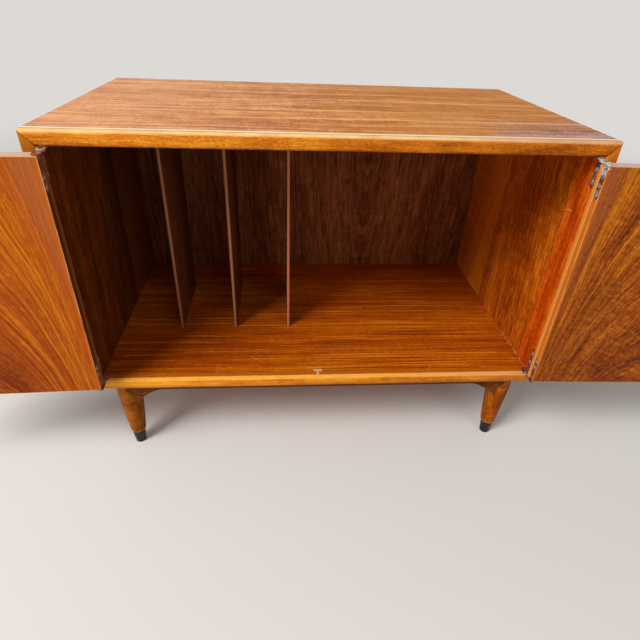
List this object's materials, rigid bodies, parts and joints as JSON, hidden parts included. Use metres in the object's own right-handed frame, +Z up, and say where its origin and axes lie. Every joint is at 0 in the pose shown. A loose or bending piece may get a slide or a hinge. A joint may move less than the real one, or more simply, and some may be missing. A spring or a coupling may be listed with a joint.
{
  "type": "record cabinet",
  "caption": "Low record cabinet: mitred walnut case, inset doors on pivot hinges, thin record dividers, and a base of sculpted rails and turned legs with dark ferrules.",
  "frame": {"origin": "on the floor, under the middle of the box round the whole object as it stands with its doors open", "axes": "+Z up, the front of the cabinet towards -Y, +X to the right as seen from the front, along the row's longest extent"},
  "size_m": [1.4172, 0.4754, 0.566],
  "materials": {
    "top_veneer": "satin lacquered walnut veneer, grain across the width",
    "floor_veneer": "satin lacquered walnut veneer, straight grain across the width",
    "side_veneer": "satin lacquered walnut veneer, upright grain",
    "back_veneer": "lightly finished walnut plywood, upright grain",
    "solid_edge": "satin lacquered solid walnut edging",
    "stile_wood": "satin lacquered solid walnut",
    "divider_wood": "thin walnut-faced panel, satin",
    "door_veneer": "satin lacquered walnut veneer, slanted figured grain",
    "base_wood": "satin lacquered solid walnut",
    "block_wood": "bare softwood",
    "ferrule_metal": "worn black",
    "hinge_metal": "dark bronzed, worn at the edges",
    "screw_metal": "plain steel"
  },
  "bodies": {
    "cabinet_body": {"top_panel": "top_veneer", "bottom_panel": "floor_veneer", "left_side_panel": "side_veneer", "right_side_panel": "side_veneer", "back_panel": "back_veneer", "top_front_band": "solid_edge", "bottom_front_band": "solid_edge", "left_front_stile": "stile_wood", "right_front_stile": "stile_wood", "divider_1": "divider_wood", "divider_2": "divider_wood", "divider_3": "divider_wood", "catch_strike": "screw_metal", "front_rail": "base_wood", "rear_rail": "base_wood", "left_rail": "base_wood", "right_rail": "base_wood", "leg_front_left": "base_wood", "leg_front_right": "base_wood", "leg_rear_left": "base_wood", "leg_rear_right": "base_wood", "ferrule_front_left": "ferrule_metal", "ferrule_front_right": "ferrule_metal", "ferrule_rear_left": "ferrule_metal", "ferrule_rear_right": "ferrule_metal", "corner_block_front_left": "block_wood", "corner_block_front_right": "block_wood", "corner_block_rear_left": "block_wood", "corner_block_rear_right": "block_wood", "left_top_case_leaf": "hinge_metal", "left_top_pivot_pin": "hinge_metal", "left_top_case_screw_1": "screw_metal", "left_top_case_screw_2": "screw_metal", "left_bottom_case_leaf": "hinge_metal", "left_bottom_pivot_pin": "hinge_metal", "left_bottom_case_screw_1": "screw_metal", "left_bottom_case_screw_2": "screw_metal", "right_top_case_leaf": "hinge_metal", "right_top_pivot_pin": "hinge_metal", "right_top_case_screw_1": "screw_metal", "right_top_case_screw_2": "screw_metal", "right_bottom_case_leaf": "hinge_metal", "right_bottom_pivot_pin": "hinge_metal", "right_bottom_case_screw_1": "screw_metal", "right_bottom_case_screw_2": "screw_metal"},
    "left_door_body": {"left_door": "door_veneer", "left_top_door_leaf": "hinge_metal", "left_top_door_screw_1": "screw_metal", "left_top_door_screw_2": "screw_metal", "left_bottom_door_leaf": "hinge_metal", "left_bottom_door_screw_1": "screw_metal", "left_bottom_door_screw_2": "screw_metal"},
    "right_door_body": {"right_door": "door_veneer", "right_top_door_leaf": "hinge_metal", "right_top_door_screw_1": "screw_metal", "right_top_door_screw_2": "screw_metal", "right_bottom_door_leaf": "hinge_metal", "right_bottom_door_screw_1": "screw_metal", "right_bottom_door_screw_2": "screw_metal"}
  },
  "joints": [
    {"name": "left_door_hinge", "type": "hinge", "parent": "cabinet_body", "child": "left_door_body", "pos_m": [-0.355, -0.20234, 0.3615], "axis": [0, 0, 1], "range_deg": [-2, 178]},
    {"name": "right_door_hinge", "type": "hinge", "parent": "cabinet_body", "child": "right_door_body", "pos_m": [0.355, -0.20234, 0.3615], "axis": [0, 0, -1], "range_deg": [-2, 178]}
  ]
}
